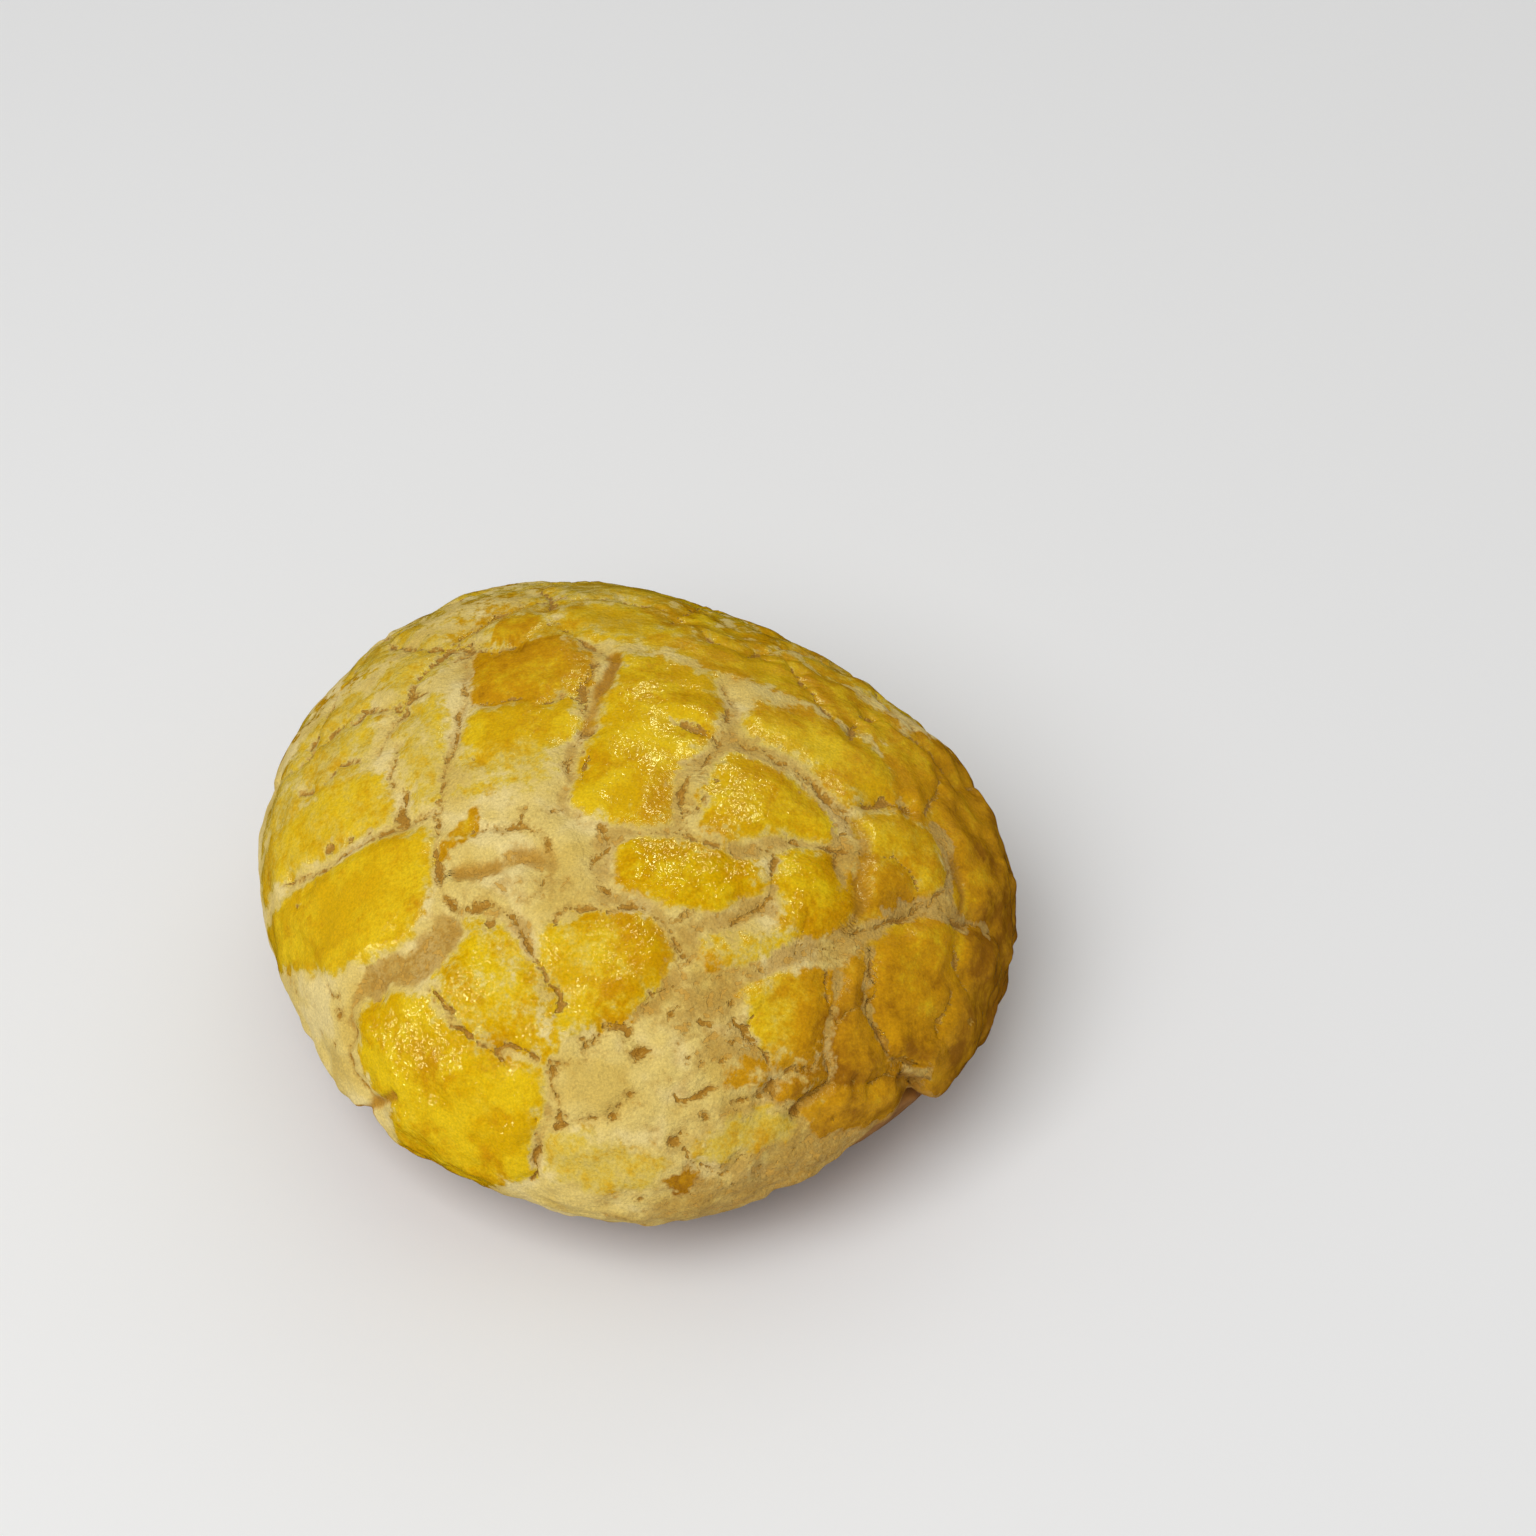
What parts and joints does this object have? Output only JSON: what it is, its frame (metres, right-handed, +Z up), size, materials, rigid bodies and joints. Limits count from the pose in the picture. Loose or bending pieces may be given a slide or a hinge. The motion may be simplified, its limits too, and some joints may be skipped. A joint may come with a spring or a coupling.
{
  "type": "pineapple bun",
  "caption": "Round bread bun under a shell of cookie dough that cracked into yellow-glazed tiles, with a flat base.",
  "frame": {"origin": "middle of the flat base that the bun rests on", "axes": "+Z up through the dome, -Y towards the side that the picture shows, +X to its right"},
  "size_m": [0.1013, 0.1052, 0.0488],
  "materials": {
    "crust": "baked cookie dough, pale and crumbly where it is bare, egg-yellow and half glossy where it is glazed",
    "bread": "browned bread skin, satin, paler near the floor"
  },
  "bodies": {
    "root": {"crust": "crust", "bread": "bread"}
  },
  "joints": []
}
